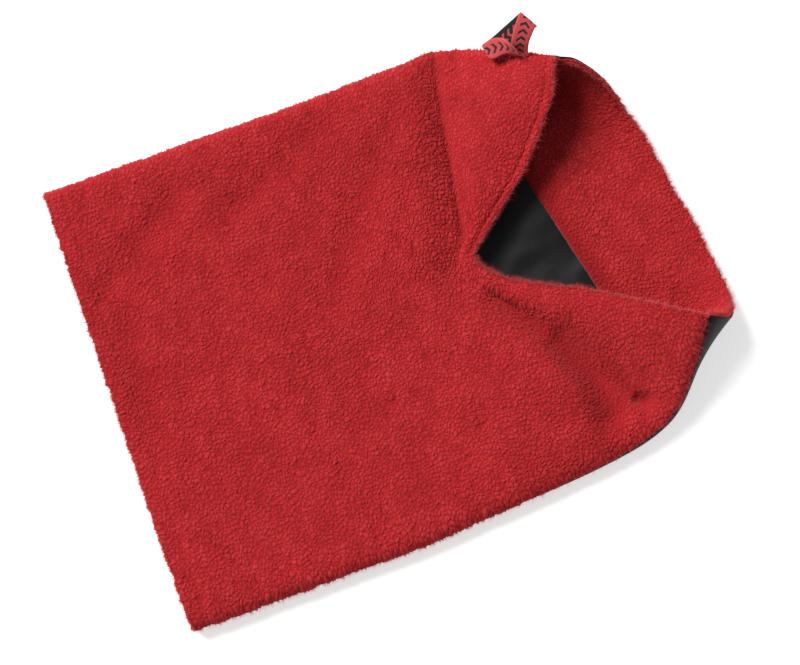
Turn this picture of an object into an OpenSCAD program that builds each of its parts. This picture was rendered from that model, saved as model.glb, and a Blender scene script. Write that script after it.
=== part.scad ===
// Neck gaiter: a flat tube of two panels, fleece outside in front and plain shell
// cloth behind, lying on a table with its mouth pulled open at one end.
// The tube runs along X from its far end to its mouth, and its front faces up.

/* [Tube] */
// Length of the back panel, from the far end to the mouth
tube_l = 360; // [330:1:390]
// Width between the two side seams where the tube lies flat
tube_w = 270; // [250:1:290]
// Height of the mouth's raised corner above the table
mouth_h = 36; // [33:1:39]

/* [Cloth] */
// Thickness of the fleece with its pile
fleece_t = 4.2; // [3:0.1:4.5]
// Thickness of the shell cloth
shell_t = 0.8; // [0.5:0.1:0.8]
// Thickness of the lining cloth
lining_t = 0.6; // [0.4:0.1:0.6]
// Radius of the rolled seam allowance along each side
seam_r = 1; // [0.7:0.1:1]
// Thickness of the sewing thread
thread_d = 0.8; // [0.5:0.1:0.8]

/* [Hang loop] */
// Thickness of the woven tape
tape_t = 0.8; // [0.6:0.1:0.9]
// Size of the loop against its usual size
loop_size = 1; // [0.9:0.02:1.1]

/* [Hidden] */

red = [0.70, 0.15, 0.17];
coral = [0.84, 0.30, 0.30];
black = [0.13, 0.12, 0.12];

usual_l = 360;
usual_w = 270;
usual_h = 36;
middle = [176.94, 1.04, 0];  // the middle of everything, which stands at the origin
clear = 0.1;              // room left between two layers of cloth

// Heights over the table of the cloth's middle line where the tube lies flat.
front_z = 8.5;
back_z = 0.8;
seam_z = 4.5;

// ---- Shapes of the two panels ----
// Each panel is a net of points: rows run across the tube from the lower seam
// to the upper one, and follow each other from the far end to the mouth.

// The far end is cut a little askew.
function slanted(x, y) = x > 0 ? x : 0.012 * y - 2.3;

// One flat row across the front, at x, with the lower seam at y = -w.
function front_row(x, w) = [
    for (c = [[-1, seam_z], [-0.96, front_z - 0.5], [-0.76, front_z], [-0.46, front_z],
              [-0.12, front_z], [0.06, front_z], [0.22, front_z], [0.5, front_z],
              [0.78, front_z], [0.96, front_z - 0.5], [1, seam_z]])
        let (y = c.x * (c.x < 0 ? w : usual_w / 2)) [slanted(x, y), y, c.y]
];

// One flat row across the back: it curls up to the seam at both sides.
function back_row(x, w) = let (u = usual_w / 2) [
    for (c = [[-w, seam_z], [1.5 - w, 1.6], [8 - w, back_z], [-86, back_z], [-42, back_z],
              [0, back_z], [42, back_z], [86, back_z], [u - 8, back_z], [u - 1.5, 1.6],
              [u, seam_z]])
        [slanted(x, c.x), c.x, c.y]
];

flat_rows = [[0, 134.5], [50, 135], [100, 134.8], [150, 134]];

// The front swells, falls into two creases that meet behind the V of the mouth,
// and rises again in two facets to the rim.
swell = [[246, -128, 5], [248, -119, 9], [250, -98, 12], [232, -70, 13], [203, -24, 12],
         [187, 6, 11.5], [196, 29, 11.5], [207, 65, 12], [216, 102, 12], [222, 129, 9.5],
         [224, 136.5, 5]];
creases = [[295, -117.5, 8], [292, -109.5, 9.5], [279, -88, 8.2], [257, -58, 7.8],
           [228, -13, 7.9], [213, 8, 8], [222, 28, 7.8], [230, 64, 7.7], [238, 103, 7.7],
           [245, 130, 7.5], [247, 138, 5.5]];
facets = [[317.5, -96.5, 18], [313, -89.5, 22], [297, -67, 23.5], [269, -42, 18.5],
          [233, -12, 11], [219, 9, 9.5], [229, 26, 10.5], [249, 58, 15.5], [268, 94, 21.5],
          [281, 114, 20.5], [286, 119.5, 18]];
rim = [[336, -69, 34], [331, -66, 34.5], [312, -53, 31], [278, -30, 22], [238.5, -7.5, 12],
       [224.5, 12, 9.5], [239, 26, 11.5], [271, 51, 18.5], [299, 82.5, 28], [306.5, 97, 32],
       [311.4, 103.5, 33]];

// The back lies on the table and curls up to both corners of the mouth.
back_swell = [[246, -128, 5], [246.5, -128, 1.8], [247, -120, 0.8], [243, -82, 0.8],
              [237, -40, 0.8], [231, 0, 0.8], [228, 42, 0.8], [225, 85, 0.8],
              [225, 128, 0.8], [224, 135, 1.8], [224, 136.5, 5]];
facing_line = [[295, -117.5, 8], [297, -117.5, 3.4], [299, -107, 0.8], [296, -72, 1.2],
               [289, -38, 3], [281, 0, 3.2], [272.5, 38, 3.2], [263, 78, 2.4],
               [253, 121, 0.8], [247.5, 136, 1.9], [247, 138, 5.5]];
facing_middle = [[317.5, -96.5, 18], [325.5, -92.5, 13], [329, -86, 4], [327, -66, 0.8],
                 [322, -34, 0.8], [314, 2, 0.8], [308, 40, 0.8], [302, 72, 0.8],
                 [297, 103, 3], [289.5, 117, 11], [286, 119.5, 18]];
back_rim = [[336, -69, 34], [344, -73, 30], [352, -73.5, 20], [357.5, -62, 6],
            [356, -25, 0.8], [351, 8, 0.8], [347, 40, 0.8], [342, 62.5, 4],
            [334.5, 84.5, 16], [322, 99, 27], [311.4, 103.5, 33]];

front = [for (r = flat_rows) front_row(r.x, r.y), swell, creases, facets, rim];
back = [for (r = flat_rows) back_row(r.x, r.y), back_swell, facing_line, facing_middle,
        back_rim];
facing_start = 5 / 7;     // the facing begins at the sixth row of eight

// ---- Smooth skins through the nets ----

// A point of the smooth curve between b and c, with a before and d after them.
function between(a, b, c, d, f) =
    b + 0.5 * f * (c - a + f * (2 * a - 5 * b + 4 * c - d + f * (3 * (b - c) + d - a)));

// A point at u, from 0 to 1, along a smooth curve through all the points.
function along(points, u) =
    let (
        last = len(points) - 1,
        k = min(floor(u * last), last - 1),
        before = k > 0 ? points[k - 1] : 2 * points[0] - points[1],
        after = k < last - 1 ? points[k + 2] : 2 * points[last] - points[last - 1]
    )
    between(before, points[k], points[k + 1], after, u * last - k);

// The point at the chosen size, and never below the table.
function sized(p) =
    [p.x * tube_l / usual_l, p.y * tube_w / usual_w, max(p.z * mouth_h / usual_h, back_z)];

// The net's points across the tube at t, one from each row.
function rib(net, t) = [for (row = net) along(row, t)];

function unit(v) = v / norm(v);

// A point of a panel with its upward normal, at s along the tube and t across it.
step = 0.005;
function panel_at(net, s, t) =
    let (
        t0 = max(t - step, 0),
        t1 = min(t + step, 1),
        s0 = max(s - step, 0),
        s1 = min(s + step, 1),
        here = rib(net, t)
    )
    [
        sized(along(here, s)),
        unit(cross(
            sized(along(here, s1)) - sized(along(here, s0)),
            sized(along(rib(net, t1), s)) - sized(along(rib(net, t0), s))
        ))
    ];

// ---- Solids ----

// A sheet of cloth between two distances from the panel, along its normals.
module sheet(net, s_ends, t_ends, low, high, cells) {
    n = cells.x;
    m = cells.y;
    grid = [
        for (i = [0:n], j = [0:m])
            panel_at(net, s_ends[0] + (s_ends[1] - s_ends[0]) * i / n,
                    t_ends[0] + (t_ends[1] - t_ends[0]) * j / m)
    ];
    size = (n + 1) * (m + 1);
    points = [for (g = grid) g[0] + high * g[1], for (g = grid) g[0] + low * g[1]];
    top = [for (i = [0:n - 1], j = [0:m - 1]) let (a = i * (m + 1) + j)
        [a, a + 1, a + m + 2, a + m + 1]];
    edge = concat([for (j = [0:m - 1]) j], [for (i = [0:n - 1]) i * (m + 1) + m],
                  [for (j = [m:-1:1]) n * (m + 1) + j], [for (i = [n:-1:1]) i * (m + 1)]);
    faces = concat(
        [for (q = top) each [[q[0], q[1], q[2]], [q[0], q[2], q[3]]]],
        [for (q = top) each [[q[2] + size, q[1] + size, q[0] + size],
                             [q[3] + size, q[2] + size, q[0] + size]]],
        [for (k = [0:len(edge) - 1]) let (a = edge[k], b = edge[(k + 1) % len(edge)])
            each [[b, a, a + size], [b, a + size, b + size]]]
    );
    polyhedron(points, faces, convexity = 6);
}

// A round rope of radius r through the points, closed at both ends.
module rope(points, r, sides = 6) {
    last = len(points) - 1;
    rings = [for (i = [0:last])
        let (
            way = unit(points[min(i + 1, last)] - points[max(i - 1, 0)]),
            across = unit(cross(way, [0.1, 0.2, 1])),
            up = cross(across, way)
        )
        for (a = [0:sides - 1])
            points[i] + r * (cos(a * 360 / sides) * across + sin(a * 360 / sides) * up)];
    faces = concat(
        [for (i = [0:last - 1], a = [0:sides - 1])
            let (b = (a + 1) % sides, k = i * sides)
            each [[k + a, k + b, k + sides + b], [k + a, k + sides + b, k + sides + a]]],
        [[for (a = [sides - 1:-1:0]) a], [for (a = [0:sides - 1]) last * sides + a]]
    );
    polyhedron(rings, faces, convexity = 6);
}

// A row of sewing across the tube at s, its thread lying at the given height
// over the panel.
module stitch_row(net, s, t_ends, height) {
    color(red)
        rope([for (i = [0:48])
            let (p = panel_at(net, s, t_ends[0] + (t_ends[1] - t_ends[0]) * i / 48))
            p[0] + height * p[1]], thread_d / 2);
}

// The rolled seam allowance that joins the two panels along one side.
module side_seam(t) {
    side = rib(front, t);
    color(black)
        rope([for (i = [0:42]) sized(along(side, i / 42))], seam_r, 8);
}

module front_fleece() {
    color(red)
        sheet(front, [0, 1], [0.03, 0.97], clear, fleece_t, [28, 30]);
}

module front_lining() {
    color(black)
        sheet(front, [0, 1], [0.05, 0.95], -clear - lining_t, -clear, [28, 30]);
}

module back_shell() {
    color(black)
        sheet(back, [0, 1], [0.06, 0.94], -shell_t, -clear, [28, 30]);
}

module back_lining() {
    color(black)
        sheet(back, [0, facing_start - 0.004], [0.08, 0.92], clear, clear + lining_t, [20, 30]);
}

// The band of fleece sewn inside the back of the mouth.
module mouth_facing() {
    color(red)
        sheet(back, [facing_start, 1], [0.1, 0.9], clear, fleece_t, [8, 30]);
}

module side_seam_lower() side_seam(0);

module side_seam_upper() side_seam(1);

over_fleece = fleece_t + thread_d / 2 + 4 * clear;

module front_mouth_stitch() stitch_row(front, 0.97, [0.05, 0.95], over_fleece);

module front_end_stitch() stitch_row(front, 0.03, [0.05, 0.95], over_fleece);

module facing_rim_stitch() stitch_row(back, 0.97, [0.12, 0.88], over_fleece);

module facing_seam_stitch() stitch_row(back, facing_start + 0.012, [0.12, 0.88], over_fleece);

module back_end_stitch()
    stitch_row(back, 0.03, [0.16, 0.84], lining_t + thread_d / 2 + 3 * clear);

// ---- Hang loop ----
// A flat woven tape whose two ends are sewn into the upper seam. It rises, folds
// over at the top, runs back underneath, folds again and arches back to the seam.
// Each station is one point on each edge of the tape.
loop_root = [291.5, 114.5, 25.5];
loop_edges = [
    [[287.3, 116.1, 26], [295.3, 111.5, 30]],
    [[286.9, 117.9, 30], [295.6, 113.7, 32]],
    [[287.1, 120.2, 35], [297.4, 117.3, 36]],
    [[291.1, 126.8, 39], [301, 121.4, 38.4]],
    [[296.9, 134.1, 40], [303.7, 124.1, 39]],
    [[298.3, 135.6, 37.6], [304.3, 124.7, 35.6]],
    [[289, 133.4, 30], [292.6, 123.7, 28.5]],
    [[279.3, 130.1, 27], [282.2, 120.9, 26]],
    [[273.1, 128.6, 25.4], [274.8, 120.3, 25]],
    [[272.2, 127.4, 27.2], [273.7, 119.3, 26.6]],
    [[275.5, 128.5, 29.2], [274.8, 117.4, 28]],
    [[279.3, 128.6, 30.2], [277.8, 117, 29]],
    [[283.5, 126.7, 32], [282, 117.3, 29.4]],
    [[286.1, 121.5, 37], [287, 115.7, 30]],
    [[288.8, 116.2, 36.4], [290.5, 112.7, 32]],
    [[291.3, 113.2, 32.6], [293.1, 110.3, 31.6]],
];

function loop_place(p) = sized(loop_root) + loop_size * (p - loop_root);

// Two points of the tape's middle surface at u along it, one on each edge, and
// the direction that its pile of threads faces.
function tape(u) =
    let (
        a = along([for (e = loop_edges) loop_place(e[0])], u),
        b = along([for (e = loop_edges) loop_place(e[1])], u),
        ahead = along([for (e = loop_edges) loop_place((e[0] + e[1]) / 2)], min(u + step, 1)),
        behind = along([for (e = loop_edges) loop_place((e[0] + e[1]) / 2)], max(u - step, 0))
    )
    [a, b, unit(cross(ahead - behind, a - b))];

// A stretch of flat tape from u0 to u1, between two distances off its middle.
module ribbon(u0, u1, low, high, n, inset = 0) {
    stations = [for (i = [0:n]) tape(u0 + (u1 - u0) * i / n)];
    points = [for (w = stations)
        let (a = w[0] + inset * (w[1] - w[0]), b = w[1] + inset * (w[0] - w[1]))
        each [a + low * w[2], b + low * w[2], b + high * w[2], a + high * w[2]]];
    faces = concat(
        [for (i = [0:n - 1], c = [0:3]) let (k = 4 * i, d = (c + 1) % 4)
            each [[k + c, k + 4 + c, k + 4 + d], [k + c, k + 4 + d, k + d]]],
        [[0, 1, 2, 3], [4 * n + 3, 4 * n + 2, 4 * n + 1, 4 * n]]
    );
    polyhedron(points, faces, convexity = 8);
}

module hang_loop() {
    color(coral)
        ribbon(0, 1, -tape_t / 2, tape_t / 2, 56);
}

// A plain stripe woven into the tape's face.
module loop_mark() {
    color(black)
        ribbon(0.12, 0.24, tape_t / 2 + clear / 2, tape_t / 2 + 0.3, 8, 0.36);
}

// The dense bar of stitches over the tape's ends.
module loop_bar_tack() {
    root = loop_place(loop_root);
    color(black)
        translate(root + [0.2, 1.6, 3.1])
            rotate([0, -23, -30])
                cube([6, 1, 0.8], center = true);
}

module placed() {
    translate(-middle) children();
}

placed() front_fleece();
placed() front_lining();
placed() back_shell();
placed() back_lining();
placed() mouth_facing();
placed() side_seam_lower();
placed() side_seam_upper();
placed() front_mouth_stitch();
placed() front_end_stitch();
placed() facing_rim_stitch();
placed() facing_seam_stitch();
placed() back_end_stitch();
placed() hang_loop();
placed() loop_mark();
placed() loop_bar_tack();
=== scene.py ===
"""A red fleece neck gaiter lying on a white table, with its mouth pulled open.

The cloth lies on the same two nets of points as in the CAD: rows run across the tube
from the lower seam to the upper one, in millimetres from the far end's middle.
"""

import math

import bpy
import numpy as np
from mathutils import Matrix, Vector


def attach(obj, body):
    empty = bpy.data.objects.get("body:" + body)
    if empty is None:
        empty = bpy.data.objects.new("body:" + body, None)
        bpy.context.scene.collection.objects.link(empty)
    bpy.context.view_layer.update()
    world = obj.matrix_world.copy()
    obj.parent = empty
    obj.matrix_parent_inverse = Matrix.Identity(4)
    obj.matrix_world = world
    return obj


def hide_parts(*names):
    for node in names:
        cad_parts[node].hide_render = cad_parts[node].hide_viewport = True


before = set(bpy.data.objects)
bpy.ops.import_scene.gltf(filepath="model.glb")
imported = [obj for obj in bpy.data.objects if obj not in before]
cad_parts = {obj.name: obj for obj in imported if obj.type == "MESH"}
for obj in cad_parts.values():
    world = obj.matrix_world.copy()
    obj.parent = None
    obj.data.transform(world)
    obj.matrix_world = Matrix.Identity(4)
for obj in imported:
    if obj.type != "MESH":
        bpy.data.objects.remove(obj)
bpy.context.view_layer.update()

MM = 0.001
HALF_W = 135.0                              # half the tube's width between its seams
MIDDLE = np.array([176.94, 1.04, 0.0])      # the frame's origin, in the nets' millimetres
SHELL = 0.8                                 # thickness of the shell cloth
LINING = 0.6                                # thickness of the lining
GRAIN = 0.5          # spacing of the fleece's mesh, in mm
WEAVE = 1.3          # spacing of the smooth cloths' meshes
rng = np.random.default_rng(11)

# ---- The shape of the two panels ----

FRONT_Z, BACK_Z, SEAM_Z = 8.5, 0.8, 4.5
FLAT_ROWS = [(0, 134.5), (50, 135), (100, 134.8), (150, 134)]


def slanted(x, y):
    """The far end is cut a little askew."""
    return x if x > 0 else 0.012 * y - 2.3


def front_row(x, w):
    columns = [(-1, SEAM_Z), (-0.96, FRONT_Z - 0.5), (-0.76, FRONT_Z), (-0.46, FRONT_Z),
               (-0.12, FRONT_Z), (0.06, FRONT_Z), (0.22, FRONT_Z), (0.5, FRONT_Z),
               (0.78, FRONT_Z), (0.96, FRONT_Z - 0.5), (1, SEAM_Z)]
    wide = [(c * (w if c < 0 else HALF_W), z) for c, z in columns]
    return [(slanted(x, y), y, z) for y, z in wide]


def back_row(x, w):
    low = [(-w, SEAM_Z), (1.5 - w, 1.6), (8 - w, BACK_Z)]
    middle = [(y, BACK_Z) for y in (-86, -42, 0, 42, 86)]
    high = [(HALF_W - 8, BACK_Z), (HALF_W - 1.5, 1.6), (HALF_W, SEAM_Z)]
    return [(slanted(x, y), y, z) for y, z in low + middle + high]


SWELL = [(246, -128, 5), (248, -119, 9), (250, -98, 12), (232, -70, 13), (203, -24, 12),
         (187, 6, 11.5), (196, 29, 11.5), (207, 65, 12), (216, 102, 12), (222, 129, 9.5),
         (224, 136.5, 5)]
CREASES = [(295, -117.5, 8), (292, -109.5, 9.5), (279, -88, 8.2), (257, -58, 7.8),
           (228, -13, 7.9), (213, 8, 8), (222, 28, 7.8), (230, 64, 7.7), (238, 103, 7.7),
           (245, 130, 7.5), (247, 138, 5.5)]
FACETS = [(317.5, -96.5, 18), (313, -89.5, 22), (297, -67, 23.5), (269, -42, 18.5),
          (233, -12, 11), (219, 9, 9.5), (229, 26, 10.5), (249, 58, 15.5), (268, 94, 21.5),
          (281, 114, 20.5), (286, 119.5, 18)]
RIM = [(336, -69, 34), (331, -66, 34.5), (312, -53, 31), (278, -30, 22), (238.5, -7.5, 12),
       (224.5, 12, 9.5), (239, 26, 11.5), (271, 51, 18.5), (299, 82.5, 28), (306.5, 97, 32),
       (311.4, 103.5, 33)]
BACK_SWELL = [(246, -128, 5), (246.5, -128, 1.8), (247, -120, 0.8), (243, -82, 0.8),
              (237, -40, 0.8), (231, 0, 0.8), (228, 42, 0.8), (225, 85, 0.8),
              (225, 128, 0.8), (224, 135, 1.8), (224, 136.5, 5)]
FACING_LINE = [(295, -117.5, 8), (297, -117.5, 3.4), (299, -107, 0.8), (296, -72, 1.2),
               (289, -38, 3), (281, 0, 3.2), (272.5, 38, 3.2), (263, 78, 2.4),
               (253, 121, 0.8), (247.5, 136, 1.9), (247, 138, 5.5)]
FACING_MIDDLE = [(317.5, -96.5, 18), (325.5, -92.5, 13), (329, -86, 4), (327, -66, 0.8),
                 (322, -34, 0.8), (314, 2, 0.8), (308, 40, 0.8), (302, 72, 0.8),
                 (297, 103, 3), (289.5, 117, 11), (286, 119.5, 18)]
BACK_RIM = [(336, -69, 34), (344, -73, 30), (352, -73.5, 20), (357.5, -62, 6),
            (356, -25, 0.8), (351, 8, 0.8), (347, 40, 0.8), (342, 62.5, 4),
            (334.5, 84.5, 16), (322, 99, 27), (311.4, 103.5, 33)]
FRONT = np.array([front_row(*r) for r in FLAT_ROWS] + [SWELL, CREASES, FACETS, RIM])
BACK = np.array([back_row(*r) for r in FLAT_ROWS]
                + [BACK_SWELL, FACING_LINE, FACING_MIDDLE, BACK_RIM])
FACING_START = 5 / 7


def along(points, u):
    """Points at u, from 0 to 1, on a smooth curve through points, along their first axis."""
    last = len(points) - 1
    place = np.clip(u, 0, 1) * last
    k = np.minimum(place.astype(int), last - 1)
    f = (place - k).reshape(-1, *[1] * (points.ndim - 1))
    padded = np.concatenate([[2 * points[0] - points[1]], points, [2 * points[-1] - points[-2]]])
    a, b, c, d = padded[k], padded[k + 1], padded[k + 2], padded[k + 3]
    return b + 0.5 * f * (c - a + f * (2 * a - 5 * b + 4 * c - d + f * (3 * (b - c) + d - a)))


def unit(v):
    return v / np.maximum(np.linalg.norm(v, axis=-1, keepdims=True), 1e-9)


def even(net, axis, low, high, spacing):
    """Parameters from low to high so that neighbours are at most spacing apart anywhere."""
    rough = np.linspace(low, high, 200)
    other = np.linspace(0, 1, 41)
    skin = lattice(net, rough, other) if axis == 0 else lattice(net, other, rough)
    gaps = np.linalg.norm(np.diff(skin, axis=axis), axis=-1).max(axis=1 - axis)
    reach = np.concatenate([[0], np.cumsum(gaps)])
    count = max(int(reach[-1] / spacing), 2)
    return np.interp(np.linspace(0, reach[-1], count + 1), reach, rough)


def lattice(net, s, t):
    """The panel's points at every s along the tube and every t across it."""
    ribs = np.stack([along(row, t) for row in net])
    skin = along(ribs, s)
    skin[..., 2] = np.maximum(skin[..., 2], BACK_Z)
    return skin


class Panel:
    """A dense patch of a panel, with its normals and the cloth's own coordinates in mm."""

    def __init__(self, net, s_ends, t_ends, spacing):
        self.s = even(net, 0, *s_ends, spacing)
        self.t = even(net, 1, *t_ends, spacing)
        self.points = lattice(net, self.s, self.t)
        self.ahead = unit(np.gradient(self.points, axis=0))
        self.across = unit(np.gradient(self.points, axis=1))
        self.up = unit(np.cross(self.ahead, self.across))
        self.u = self.length(0)
        self.v = self.length(1)
        self.from_start = self.u
        self.from_rim = self.u[-1:] - self.u
        self.from_low = self.v
        self.from_high = self.v[:, -1:] - self.v

    def length(self, axis):
        gaps = np.linalg.norm(np.diff(self.points, axis=axis), axis=-1)
        zero = np.zeros_like(gaps[:1] if axis == 0 else gaps[:, :1])
        return np.concatenate([zero, np.cumsum(gaps, axis=axis)], axis=axis)


# ---- Seeded noise ----

TABLE = rng.random((256, 256))
JITTER = rng.random((3, 256, 256))


def noise(x, y):
    """Smooth noise from -1 to 1 with features about one unit wide."""
    ix, iy = np.floor(x).astype(int), np.floor(y).astype(int)
    fx, fy = x - ix, y - iy
    fx, fy = fx * fx * (3 - 2 * fx), fy * fy * (3 - 2 * fy)
    corner = [[TABLE[(ix + i) % 256, (iy + j) % 256] for j in (0, 1)] for i in (0, 1)]
    low = corner[0][0] * (1 - fx) + corner[1][0] * fx
    high = corner[0][1] * (1 - fx) + corner[1][1] * fx
    return 2 * (low * (1 - fy) + high * fy) - 1


def cells(x, y):
    """Distances to the nearest and second nearest of a jittered grid of dots, and a
    number from 0 to 1 that belongs to the nearest."""
    ix, iy = np.floor(x).astype(int), np.floor(y).astype(int)
    first = np.full(x.shape, 9.0)
    second = np.full(x.shape, 9.0)
    own = np.zeros(x.shape)
    for i in (-1, 0, 1):
        for j in (-1, 0, 1):
            a, b = (ix + i) % 256, (iy + j) % 256
            gap = np.hypot(ix + i + JITTER[0, a, b] - x, iy + j + JITTER[1, a, b] - y)
            nearer = gap < first
            second = np.where(nearer, first, np.minimum(second, gap))
            own = np.where(nearer, JITTER[2, a, b], own)
            first = np.where(nearer, gap, first)
    return first, second, own


def pile(u, v):
    """Height of curly sherpa pile from 0, deep between the curls, to 1 on their tops."""
    warp_u = u + 1.0 * noise(u / 3.1, v / 3.1) + 0.25 * noise(u / 1.2 + 40, v / 1.2)
    warp_v = v + 1.0 * noise(u / 3.1 + 90, v / 3.1) + 0.25 * noise(u / 1.2, v / 1.2 + 70)
    first, second, own = cells(warp_u / 2.2, warp_v / 2.5)
    curl = np.clip((second - first) * 1.7, 0, 1)
    curl = curl * (2 - curl) * (0.7 + 0.3 * own)
    first, second, own = cells(warp_u / 1.3 + 31, warp_v / 1.4 + 17)
    small = np.clip((second - first) * 1.6, 0, 1)
    clump = 0.5 + 0.5 * noise(u / 7 + 12, v / 9 + 5)
    groove = 1 - np.abs(noise(u / 7 + 55, v / 16 + 33))
    groove = np.clip((groove - 0.94) / 0.06, 0, 1) * np.clip(noise(u / 11, v / 11 + 8) * 3 - 1, 0, 1)
    height = 0.60 * curl + 0.20 * small + 0.20 * clump
    return np.clip(height - 0.30 * groove, 0, 1)


# ---- Meshes ----

def make_mesh(name, points, quads, uv, values=None):
    """A smooth mesh from points in the nets' millimetres, with its cloth coordinates."""
    mesh = bpy.data.meshes.new(name)
    points = (np.asarray(points) - MIDDLE) * MM
    points[:, 2] = np.maximum(points[:, 2], 0)     # nothing reaches below the table
    mesh.vertices.add(len(points))
    mesh.vertices.foreach_set("co", points.astype(np.float32).ravel())
    quads = np.asarray(quads, dtype=np.int32)
    mesh.loops.add(quads.size)
    mesh.loops.foreach_set("vertex_index", quads.ravel())
    mesh.polygons.add(len(quads))
    mesh.polygons.foreach_set("loop_start", np.arange(len(quads), dtype=np.int32) * 4)
    layer = mesh.uv_layers.new(name="cloth")
    layer.data.foreach_set("uv", uv[quads.ravel()].astype(np.float32).ravel())
    for key, value in (values or {}).items():
        mesh.attributes.new(key, "FLOAT", "POINT")
        mesh.attributes[key].data.foreach_set("value", value.astype(np.float32))
    mesh.update()
    mesh.validate()
    mesh.polygons.foreach_set("use_smooth", np.ones(len(mesh.polygons), dtype=bool))
    piece = bpy.data.objects.new(name, mesh)
    bpy.context.scene.collection.objects.link(piece)
    return piece


def grid_quads(n, m):
    """Quads of an n by m grid of points, and the points of its outline in order."""
    index = np.arange(n * m).reshape(n, m)
    a, b, c, d = index[:-1, :-1], index[1:, :-1], index[1:, 1:], index[:-1, 1:]
    ring = np.concatenate([index[:-1, 0], index[-1, :-1], index[:0:-1, -1], index[0, :0:-1]])
    return np.stack([a, b, c, d], -1).reshape(-1, 4), ring


def closed_quads(n, m):
    """Quads of a closed sheet: an n by m grid of points on top, then the same below."""
    top, ring = grid_quads(n, m)
    under = top[:, ::-1] + n * m
    after = np.roll(ring, -1)
    wall = np.stack([after, ring, ring + n * m, after + n * m], -1)
    return np.concatenate([top, under, wall])


def closed_sheet(name, panel, top, under):
    """A thin cloth with its own faces on both sides and round its edge."""
    points = np.concatenate([top.reshape(-1, 3), under.reshape(-1, 3)])
    flat = np.stack([panel.u, panel.v], -1).reshape(-1, 2) * MM
    return make_mesh(name, points, closed_quads(*panel.u.shape), np.concatenate([flat, flat]))


def open_sheet(name, panel, top, under, values):
    """The outer skin of a thick cloth, with a wall down to its underside all round."""
    face, ring = grid_quads(*panel.u.shape)
    below = panel.u.size + np.arange(len(ring))
    wall = np.stack([np.roll(ring, -1), ring, below, np.roll(below, -1)], -1)
    points = np.concatenate([top.reshape(-1, 3), under.reshape(-1, 3)[ring]])
    flat = np.stack([panel.u, panel.v], -1).reshape(-1, 2) * MM
    grown = {k: np.concatenate([v.ravel(), v.ravel()[ring]]) for k, v in values.items()}
    return make_mesh(name, points, np.concatenate([face, wall]),
                     np.concatenate([flat, flat[ring]]), grown)


def rounded(distance, radius):
    """1 away from an edge, falling along a quarter circle to 0 at it."""
    near = 1 - np.clip(distance / radius, 0, 1)
    return np.sqrt(np.maximum(1 - near * near, 0))


def dip(distance, place, width):
    """A smooth bump of 1 at the place, falling to almost 0 two widths away."""
    return np.exp(-((distance - place) / width) ** 2)


def fleece_sheet(name, panel, seed, low, groove, hem, ragged, painted_shade):
    """Fleece from low mm off the panel up to its full thickness, with its pile as shape.

    groove says how much a row of sewing 5 mm inside the rim presses the pile down, and
    hem the same 10 mm inside the other end. ragged says how far the pile strays past
    the other end and past the rim. The last argument, from 0 to about 1, is painted
    shade: it darkens the pile's colour along folds and seams and in shaded corners.
    """
    x, y, z = np.moveaxis(panel.points, -1, 0)
    height = pile(x + 0.5 * z + seed, y - 0.3 * z + seed)
    soft = noise(x / 24 + seed, y / 60) + 0.5 * noise(x / 11, y / 30)
    thick = 2.8 + 0.4 * soft + 1.35 * height
    press = 1 - groove * dip(panel.from_rim, 5, 1.3) - hem * dip(panel.from_start, 10.5, 1.8)
    ends = rounded(panel.from_rim, 1.4) * rounded(panel.from_start, 2.0)
    sides = rounded(panel.from_low, 2.0) * rounded(panel.from_high, 2.0)
    thick = low + 0.35 + (thick - low) * press * (0.12 + 0.88 * ends * sides)
    stray = 2.0 * height + 0.8 * noise(x / 3.1, y / 3.1)
    top = panel.points + panel.up * thick[..., None]
    outward = ragged[1] * dip(panel.from_rim, 0, 2.6) - ragged[0] * dip(panel.from_start, 0, 2.6)
    sideways = dip(panel.from_high, 0, 2.6) - dip(panel.from_low, 0, 2.6)
    top = top + panel.ahead * (outward * stray)[..., None]
    top = top + panel.across * (sideways * stray)[..., None]
    under = panel.points + panel.up * low
    panel.top = top
    # The "pile" attribute is the pile height, which sets the painted shade between curls, darkened
    # further by the painted shade of folds and seams.
    return open_sheet(name, panel, top, under, {"pile": height * (1 - 0.8 * painted_shade)})


def fuzz(name, panel, density):
    """Loose fibres along a fleece's edges: so many for each mm of its rim, of its other
    end, of its lower side and of its upper side."""
    edges = ((panel.from_rim, panel.ahead), (panel.from_start, -panel.ahead),
             (panel.from_low, -panel.across), (panel.from_high, panel.across))
    roots, ways = [], []
    for (gap, outward), per_mm in zip(edges, density):
        near = np.argwhere(gap < 1.6)
        length = len(near) * GRAIN * GRAIN / 1.6
        chosen = tuple(near[rng.integers(0, len(near), int(length * per_mm))].T)
        lean = rng.normal(0, 0.45, (len(chosen[0]), 3))
        rise = rng.uniform(-0.2, 0.8, (len(chosen[0]), 1))
        roots.append(panel.top[chosen])
        ways.append(unit(outward[chosen] + rise * panel.up[chosen] + lean))
    roots, ways = np.concatenate(roots), np.concatenate(ways)
    count = len(roots)
    long = rng.uniform(0.8, 2.6, (count, 1, 1))
    bend = rng.normal(0, 0.45, (count, 1, 3))
    side = unit(np.cross(ways, rng.normal(0, 1, (count, 3))))[:, None]
    f = np.linspace(0, 1, 4)[None, :, None]
    spine = roots[:, None] + long * (ways[:, None] * f + bend * f * f)
    half = 0.07 * (1 - 0.75 * f) * side
    points = np.stack([spine - half, spine + half], 2).reshape(-1, 3)
    steps = 8 * np.arange(count)[:, None] + np.array([0, 2, 4])
    quads = (steps[..., None] + np.array([0, 1, 3, 2])).reshape(-1, 4)
    return make_mesh(name, points, quads, points[:, :2] * MM)


# ---- Materials ----

def material(name, base, roughness):
    """A new material, with its node tree and its shader node."""
    made = bpy.data.materials.new(name)
    made.use_nodes = True
    shader = made.node_tree.nodes["Principled BSDF"]
    shader.inputs["Base Color"].default_value = (*base, 1)
    shader.inputs["Roughness"].default_value = roughness
    return made, made.node_tree, shader


def link(tree, source, target):
    tree.links.new(source, target)


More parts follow.
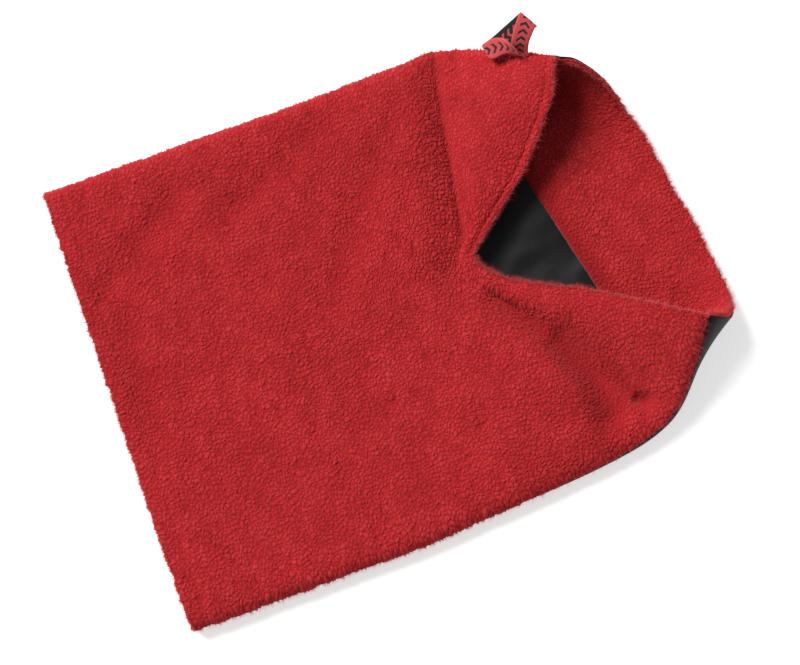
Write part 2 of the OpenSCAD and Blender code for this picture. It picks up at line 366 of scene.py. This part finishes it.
def combine(tree, operation, first, second=None):
    """A math node's result, from sockets or plain numbers."""
    node = tree.nodes.new("ShaderNodeMath")
    node.operation = operation
    for socket, value in zip(node.inputs, (first, second)):
        if isinstance(value, (int, float)):
            socket.default_value = value
        elif value is not None:
            link(tree, value, socket)
    return node.outputs["Value"]


def fleece_material():
    """Red fleece coloured from the "pile" attribute: painted shade between the curls and along folds
    and seams, painted highlight on the curls' tops.
    """
    made, tree, shader = material("fleece", (0.5, 0.03, 0.035), 0.95)
    shader.inputs["Sheen Weight"].default_value = 0.4
    shader.inputs["Sheen Roughness"].default_value = 0.5
    shader.inputs["Sheen Tint"].default_value = (1.0, 0.35, 0.35, 1)
    shader.inputs["Specular IOR Level"].default_value = 0.15
    height = tree.nodes.new("ShaderNodeAttribute")
    height.attribute_name = "pile"
    # Painted shade and highlight: the ramp runs from dark in the hollows between curls to light on
    # their tops.
    ramp = tree.nodes.new("ShaderNodeValToRGB")
    ramp.color_ramp.elements[0].position = 0.12
    ramp.color_ramp.elements[0].color = (0.31, 0.010, 0.013, 1)
    ramp.color_ramp.elements[1].position = 0.95
    ramp.color_ramp.elements[1].color = (0.60, 0.042, 0.048, 1)
    middle = ramp.color_ramp.elements.new(0.5)
    middle.color = (0.47, 0.018, 0.022, 1)
    link(tree, height.outputs["Fac"], ramp.inputs["Fac"])
    place = tree.nodes.new("ShaderNodeTexCoord")
    fibres = tree.nodes.new("ShaderNodeTexNoise")
    fibres.inputs["Scale"].default_value = 900
    fibres.inputs["Detail"].default_value = 3
    link(tree, place.outputs["Object"], fibres.inputs["Vector"])
    patches = tree.nodes.new("ShaderNodeTexNoise")
    patches.inputs["Scale"].default_value = 22
    link(tree, place.outputs["Object"], patches.inputs["Vector"])
    tint = tree.nodes.new("ShaderNodeHueSaturation")
    vary = tree.nodes.new("ShaderNodeMapRange")
    vary.inputs["From Min"].default_value = 0.3
    vary.inputs["From Max"].default_value = 0.7
    vary.inputs["To Min"].default_value = 0.96
    vary.inputs["To Max"].default_value = 1.04
    link(tree, patches.outputs["Fac"], vary.inputs["Value"])
    link(tree, vary.outputs["Result"], tint.inputs["Value"])
    link(tree, ramp.outputs["Color"], tint.inputs["Color"])
    link(tree, tint.outputs["Color"], shader.inputs["Base Color"])
    bump = tree.nodes.new("ShaderNodeBump")
    bump.inputs["Strength"].default_value = 0.3
    bump.inputs["Distance"].default_value = 0.0003
    link(tree, fibres.outputs["Fac"], bump.inputs["Height"])
    link(tree, bump.outputs["Normal"], shader.inputs["Normal"])
    return made


def cloth_material(name, base, roughness, threads, sheen):
    """Plain woven cloth, with its threads as a fine bump and a little uneven wear."""
    made, tree, shader = material(name, base, roughness)
    shader.inputs["Sheen Weight"].default_value = sheen
    shader.inputs["Specular IOR Level"].default_value = 0.3
    place = tree.nodes.new("ShaderNodeUVMap")
    waves = []
    for direction in ("X", "Y"):
        wave = tree.nodes.new("ShaderNodeTexWave")
        wave.bands_direction = direction
        wave.inputs["Scale"].default_value = threads
        link(tree, place.outputs["UV"], wave.inputs["Vector"])
        waves.append(wave.outputs["Fac"])
    bump = tree.nodes.new("ShaderNodeBump")
    bump.inputs["Strength"].default_value = 0.25
    bump.inputs["Distance"].default_value = 0.0001
    link(tree, combine(tree, "MAXIMUM", *waves), bump.inputs["Height"])
    link(tree, bump.outputs["Normal"], shader.inputs["Normal"])
    worn = tree.nodes.new("ShaderNodeTexNoise")
    worn.inputs["Scale"].default_value = 35
    link(tree, place.outputs["UV"], worn.inputs["Vector"])
    rough = tree.nodes.new("ShaderNodeMapRange")
    rough.inputs["To Min"].default_value = roughness - 0.06
    rough.inputs["To Max"].default_value = roughness + 0.06
    link(tree, worn.outputs["Fac"], rough.inputs["Value"])
    link(tree, rough.outputs["Result"], shader.inputs["Roughness"])
    return made


def tape_material(name, base, ink):
    """Woven tape with a plain repeated mark of arrow heads down its middle."""
    made = cloth_material(name, base, 0.75, 1100, 0.2)
    tree = made.node_tree
    place = tree.nodes.new("ShaderNodeUVMap")
    split = tree.nodes.new("ShaderNodeSeparateXYZ")
    link(tree, place.outputs["UV"], split.inputs["Vector"])
    off_middle = combine(tree, "ABSOLUTE", combine(tree, "SUBTRACT", split.outputs["Y"], 0.005))
    slant = combine(tree, "ADD", split.outputs["X"], combine(tree, "MULTIPLY", off_middle, 0.8))
    step = combine(tree, "FRACT", combine(tree, "DIVIDE", slant, 0.0042))
    mark = combine(tree, "MULTIPLY", combine(tree, "LESS_THAN", step, 0.4),
                   combine(tree, "LESS_THAN", off_middle, 0.0025))
    mixed = tree.nodes.new("ShaderNodeMixRGB")
    mixed.inputs["Color1"].default_value = (*base, 1)
    mixed.inputs["Color2"].default_value = (*ink, 1)
    link(tree, mark, mixed.inputs["Fac"])
    link(tree, mixed.outputs["Color"], tree.nodes["Principled BSDF"].inputs["Base Color"])
    return made


red_fleece = fleece_material()
# Loose fibres painted lighter than the fleece: a painted highlight for light shining through the
# fringe.
loose_fibre_painted_highlight = material("loose_fibre_painted_highlight", (0.72, 0.09, 0.10), 0.9)[0]
black_lining = cloth_material("lining", (0.007, 0.0062, 0.006), 0.42, 900, 0.0)
black_shell = cloth_material("shell", (0.012, 0.011, 0.011), 0.6, 700, 0.0)
red_thread = material("thread", (0.42, 0.02, 0.028), 0.7)[0]
dark_thread = material("dark_thread", (0.02, 0.018, 0.018), 0.7)[0]
TAPE_RED = (0.66, 0.075, 0.08)
TAPE_BLACK = (0.02, 0.018, 0.018)
tape_front = tape_material("tape_front", TAPE_RED, TAPE_BLACK)
tape_back = tape_material("tape_back", TAPE_BLACK, TAPE_RED)


def finish_piece(piece, body, slot, *nodes, paint):
    """Paints a piece and says which body it rides on and which CAD nodes it replaces."""
    for one in paint:
        piece.data.materials.append(one)
    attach(piece, body)
    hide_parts(*nodes)
    return piece


# ---- Front panel ----

# Lines that the front sinks along, with how wide and how deep, in mm.
FOLDS = (
    ([(247, 138), (241, 115), (232, 73), (223, 28)], 3, 1.7),
    ([(229, -15), (242, -34), (261, -66), (286, -97)], 6.5, 3.2),
    ([(250, -47), (261, -66), (286, -97)], 3.6, 3.6),
    ([(254, -52), (262, -80), (264, -102)], 10, 5.2),
    ([(286.5, -98.5), (289, -100.5)], 5, 6.2),
    ([(15, 68), (72, 108)], 10, 1.3),
    ([(96, 86), (167, 117)], 10, 1.3),
    ([(140, 14), (171, 67), (212, 108)], 10, 1.3),
    ([(14, -22), (20, 45)], 9, 1.2),
)


def sink_into_folds(panel):
    """Lowers the panel along its folds, and returns how far."""
    place = panel.points[..., :2]
    sink = np.zeros(place.shape[:2])
    for line, width, depth in FOLDS:
        corners = np.array(line, dtype=float)
        for start, end in zip(corners[:-1], corners[1:]):
            way = end - start
            share = np.clip((place - start) @ way / (way @ way), 0, 1)
            gap = np.linalg.norm(place - start - share[..., None] * way, axis=-1)
            sink = np.maximum(sink, depth * dip(gap, 0, width))
    panel.points[..., 2] -= sink
    return sink


front = Panel(FRONT, (0, 1), (0.012, 0.988), GRAIN)
# Painted shade: the pile's colour darkens with how deep the front sinks into each fold.
front_painted_shade = sink_into_folds(front) / 6
lower_half = np.clip((front.from_high - front.from_low) / 60 + 0.5, 0, 1)
front_fleece = fleece_sheet("front_fleece_cloth", front, 0, 0.15, 0.18 - 0.18 * lower_half, 0.1,
                            (0.9, 0.2 + 0.6 * lower_half), front_painted_shade)
finish_piece(front_fleece, "tube", "fleece", "front_fleece", paint=[red_fleece])
front_fuzz = fuzz("front_fleece_fuzz", front, (9, 14, 5, 5))
finish_piece(front_fuzz, "tube", "fleece", "front_fleece", paint=[loose_fibre_painted_highlight])


def smooth_sheet(name, panel, low, high, wrinkle):
    """A thin cloth between two distances off the panel, with soft wrinkles."""
    wave = wrinkle * (noise(panel.u / 31, panel.v / 17) + 0.5 * noise(panel.u / 11, panel.v / 9))
    edge = rounded(panel.from_low, 6) * rounded(panel.from_high, 6)
    wave = (wave * edge)[..., None]
    top = panel.points + panel.up * (high + wave)
    under = panel.points + panel.up * (low + wave)
    return closed_sheet(name, panel, top, under)


thin_front = Panel(FRONT, (0, 1), (0.03, 0.97), WEAVE)
sink_into_folds(thin_front)
front_lining = smooth_sheet("front_lining_cloth", thin_front, -0.1 - LINING, -0.1, 0)
finish_piece(front_lining, "tube", "lining", "front_lining", paint=[black_lining])

# ---- Back panel ----

whole_back = Panel(BACK, (0, 1), (0.03, 0.97), WEAVE)
back_shell = smooth_sheet("back_shell_cloth", whole_back, -SHELL, -0.1, 0)
finish_piece(back_shell, "tube", "shell", "back_shell", paint=[black_shell])

lined_back = Panel(BACK, (0, FACING_START + 0.004), (0.05, 0.95), WEAVE)
back_lining = smooth_sheet("back_lining_cloth", lined_back, 0.1, 0.1 + LINING, 0.7)
finish_piece(back_lining, "tube", "lining", "back_lining", paint=[black_lining])

band = Panel(BACK, (FACING_START, 1), (0.04, 0.96), GRAIN)
# Painted shade: the band's pile colour is darkened along its seam and towards the upper corner,
# where the mouth's walls shade it.
band_painted_shade = np.maximum(0.9 * dip(band.from_start, 0, 9), 0.85 * dip(band.from_high, 0, 40))
facing = fleece_sheet("mouth_facing_cloth", band, 57, 0.1, 0, 0, (0.2, 1), band_painted_shade)
finish_piece(facing, "tube", "fleece", "mouth_facing", paint=[red_fleece])
facing_fuzz = fuzz("mouth_facing_fuzz", band, (18, 0, 3, 6))
finish_piece(facing_fuzz, "tube", "fleece", "mouth_facing", paint=[loose_fibre_painted_highlight])


# ---- Seams and sewing ----

def rope_points(line, radius, sides):
    """Rings of points round a line, with one radius for all or one for each point."""
    way = unit(np.gradient(line, axis=0))
    across = unit(np.cross(way, np.array([0.1, 0.2, 1.0])))
    up = np.cross(across, way)
    turn = np.arange(sides) * 2 * math.pi / sides
    ring = np.cos(turn)[None, :, None] * across[:, None] + np.sin(turn)[None, :, None] * up[:, None]
    return line[:, None] + np.asarray(radius).reshape(-1, 1, 1) * ring


def tube_quads(rings, sides, start):
    """Quads between the rings of a rope whose first point has the number start."""
    index = start + np.arange(rings * sides).reshape(rings, sides)
    turned = np.roll(index, -1, axis=1)
    return np.stack([index[:-1], turned[:-1], turned[1:], index[1:]], -1).reshape(-1, 4)


def ropes(name, lines, radius, sides=6):
    """Round threads along the lines, each drawn to a point at both ends."""
    points, quads, count = [], [], 0
    for one in lines:
        taper = np.full(len(one), radius)
        taper[0] = taper[-1] = 0.02 * radius
        points.append(rope_points(one, taper, sides).reshape(-1, 3))
        quads.append(tube_quads(len(one), sides, count))
        count += len(one) * sides
    points = np.concatenate(points)
    return make_mesh(name, points, np.concatenate(quads), points[:, :2] * MM)


for where, t_end in (("lower", 0), ("upper", 1)):
    side = along(np.stack([along(row, np.array([float(t_end)]))[0] for row in FRONT]),
                 np.linspace(0, 1, 300))
    seam = ropes(f"side_seam_{where}_roll", [side], 1.0, 10)
    finish_piece(seam, "tube", "shell", f"side_seam_{where}", paint=[black_shell])


def stitches(line, length=2.6, gap=0.9, sink=0.25):
    """Short arched stitches along a line, given as its points and their normals."""
    points, ups = line
    reach = np.concatenate([[0], np.cumsum(np.linalg.norm(np.diff(points, axis=0), axis=1))])
    made = []
    for start in np.arange(1, reach[-1] - length, length + gap):
        places = start + length * np.linspace(0, 1, 7)
        spine = np.stack([np.interp(places, reach, points[:, k]) for k in range(3)], -1)
        lift = np.stack([np.interp(places, reach, ups[:, k]) for k in range(3)], -1)
        arch = sink * (np.sin(np.linspace(0, math.pi, 7)) - 1)
        made.append(spine + lift * arch[:, None])
    return made


def stitch_line(net, s, t_ends, height):
    """Points across a panel at s, at a height over it, with their normals."""
    t = np.linspace(*t_ends, 400)
    near = lattice(net, np.array([s - 0.002, s, s + 0.002]), t)
    up = unit(np.cross(near[2] - near[0], np.gradient(near[1], axis=0)))
    return near[1] + height * up, up


SEWING = (
    ("front_mouth_stitch", FRONT, 0.97, (0.05, 0.95), 2.6, "thread", red_thread),
    ("front_end_stitch", FRONT, 0.03, (0.05, 0.95), 3.1, "thread", red_thread),
    ("facing_rim_stitch", BACK, 0.97, (0.12, 0.88), 3.0, "thread", red_thread),
    ("facing_seam_stitch", BACK, FACING_START + 0.012, (0.12, 0.88), 3.0, "thread", red_thread),
    ("back_end_stitch", BACK, 0.03, (0.16, 0.84), 1.0, "dark_thread", dark_thread),
)
for node, net, s, t_ends, height, thread_slot, paint in SEWING:
    row = ropes(f"{node}_row", stitches(stitch_line(net, s, t_ends, height)), 0.3)
    finish_piece(row, "tube", thread_slot, node, paint=[paint])

# ---- Hang loop ----

LOOP_EDGES = np.array([
    ((287.3, 116.1, 26), (295.3, 111.5, 30)),
    ((286.9, 117.9, 30), (295.6, 113.7, 32)),
    ((287.1, 120.2, 35), (297.4, 117.3, 36)),
    ((291.1, 126.8, 39), (301, 121.4, 38.4)),
    ((296.9, 134.1, 40), (303.7, 124.1, 39)),
    ((298.3, 135.6, 37.6), (304.3, 124.7, 35.6)),
    ((289, 133.4, 30), (292.6, 123.7, 28.5)),
    ((279.3, 130.1, 27), (282.2, 120.9, 26)),
    ((273.1, 128.6, 25.4), (274.8, 120.3, 25)),
    ((272.2, 127.4, 27.2), (273.7, 119.3, 26.6)),
    ((275.5, 128.5, 29.2), (274.8, 117.4, 28)),
    ((279.3, 128.6, 30.2), (277.8, 117, 29)),
    ((283.5, 126.7, 32), (282, 117.3, 29.4)),
    ((286.1, 121.5, 37), (287, 115.7, 30)),
    ((288.8, 116.2, 36.4), (290.5, 112.7, 32)),
    ((291.3, 113.2, 32.6), (293.1, 110.3, 31.6)),
])


def tape_sheet(name, thickness):
    """The woven tape as a thin closed ribbon with slightly rounded edges."""
    u = np.linspace(0, 1, 260)
    edges = along(LOOP_EDGES.astype(float), u)
    share = np.linspace(0, 1, 13)[None, :, None]
    middle = edges[:, :1] * (1 - share) + edges[:, 1:] * share
    way = unit(np.gradient(middle, axis=0))
    normal = unit(np.cross(way, edges[:, :1] - edges[:, 1:]))
    n, m = middle.shape[:2]
    reach = np.cumsum(np.linalg.norm(np.gradient(middle[:, m // 2], axis=0), axis=1))
    half = thickness / 2 * (0.45 + 0.55 * rounded(np.minimum(share, 1 - share) * 10, 0.7))
    points = np.concatenate([(middle + normal * half).reshape(-1, 3),
                             (middle - normal * half).reshape(-1, 3)])
    flat = np.stack(np.broadcast_arrays(reach[:, None], share[..., 0] * 10), -1).reshape(-1, 2)
    made = make_mesh(name, points, closed_quads(n, m), np.concatenate([flat, flat]) * MM)
    return made, (n - 1) * (m - 1)


tape, face_count = tape_sheet("hang_loop_tape", 0.6)
finish_piece(tape, "loop", "tape", "hang_loop", "loop_mark", paint=[tape_front, tape_back])
for face in tape.data.polygons[face_count:2 * face_count]:
    face.material_index = 1

TACK_MIDDLE = np.array([291.7, 116.1, 28.6])
tack_share = np.linspace(-1, 1, 46)
zigzag = np.arange(46) % 2 - 0.5
tack_line = TACK_MIDDLE + np.stack(
    [2.4 * tack_share, -1.4 * tack_share + 0.3 * zigzag, 1.2 * tack_share + 0.6 * zigzag], -1)
tack = ropes("loop_bar_tack_thread", [tack_line], 0.22)
finish_piece(tack, "loop", "dark_thread", "loop_bar_tack", paint=[dark_thread])

# ---- Table, light and camera ----

bpy.ops.mesh.primitive_plane_add(size=6, location=(0, 0, -0.0005))
floor = bpy.context.object
floor.name = "table_top"
table, _, table_shader = material("table", (0.8, 0.8, 0.8), 0.9)
table_shader.inputs["Emission Color"].default_value = (1, 1, 1, 1)
table_shader.inputs["Emission Strength"].default_value = 0.6
floor.data.materials.append(table)

world = bpy.data.worlds.new("studio")
bpy.context.scene.world = world
world.use_nodes = True
world.node_tree.nodes["Background"].inputs["Color"].default_value = (1, 1, 1, 1)
world.node_tree.nodes["Background"].inputs["Strength"].default_value = 0.22

TURN = math.radians(20.2)      # the camera's up direction, turned from +Y towards +X
TILT = math.radians(80)        # how steeply the camera looks down
across = Vector((math.cos(TURN), -math.sin(TURN), 0))
away = Vector((math.sin(TURN), math.cos(TURN), 0))

sun = bpy.data.lights.new("key_light", "SUN")
sun.energy = 3.6
sun.angle = math.radians(28)
lamp = bpy.data.objects.new("key_light", sun)
bpy.context.scene.collection.objects.link(lamp)
towards = across * -0.80 + away * 0.60 + Vector((0, 0, 0.85))
lamp.rotation_euler = towards.to_track_quat("Z", "Y").to_euler()

distance = 1.5                 # from the camera to the target, in metres
scale = 0.587                  # millimetres to one of the picture's 800 columns
back = away * -math.cos(TILT) + Vector((0, 0, math.sin(TILT)))
up = away * math.sin(TILT) + Vector((0, 0, math.cos(TILT)))
target = Vector((0.00306, -0.00104, 0.010)) - across * 0.0061 - up * 0.0174
camera_data = bpy.data.cameras.new("camera")
camera_data.sensor_width = 36
camera_data.lens = 36 * distance / (800 * scale * MM)
camera = bpy.data.objects.new("camera", camera_data)
bpy.context.scene.collection.objects.link(camera)
camera.matrix_world = Matrix.Translation(target + back * distance) @ Matrix(
    (across, up, back)).transposed().to_4x4()
bpy.context.scene.camera = camera
bpy.context.scene.view_settings.view_transform = "Standard"
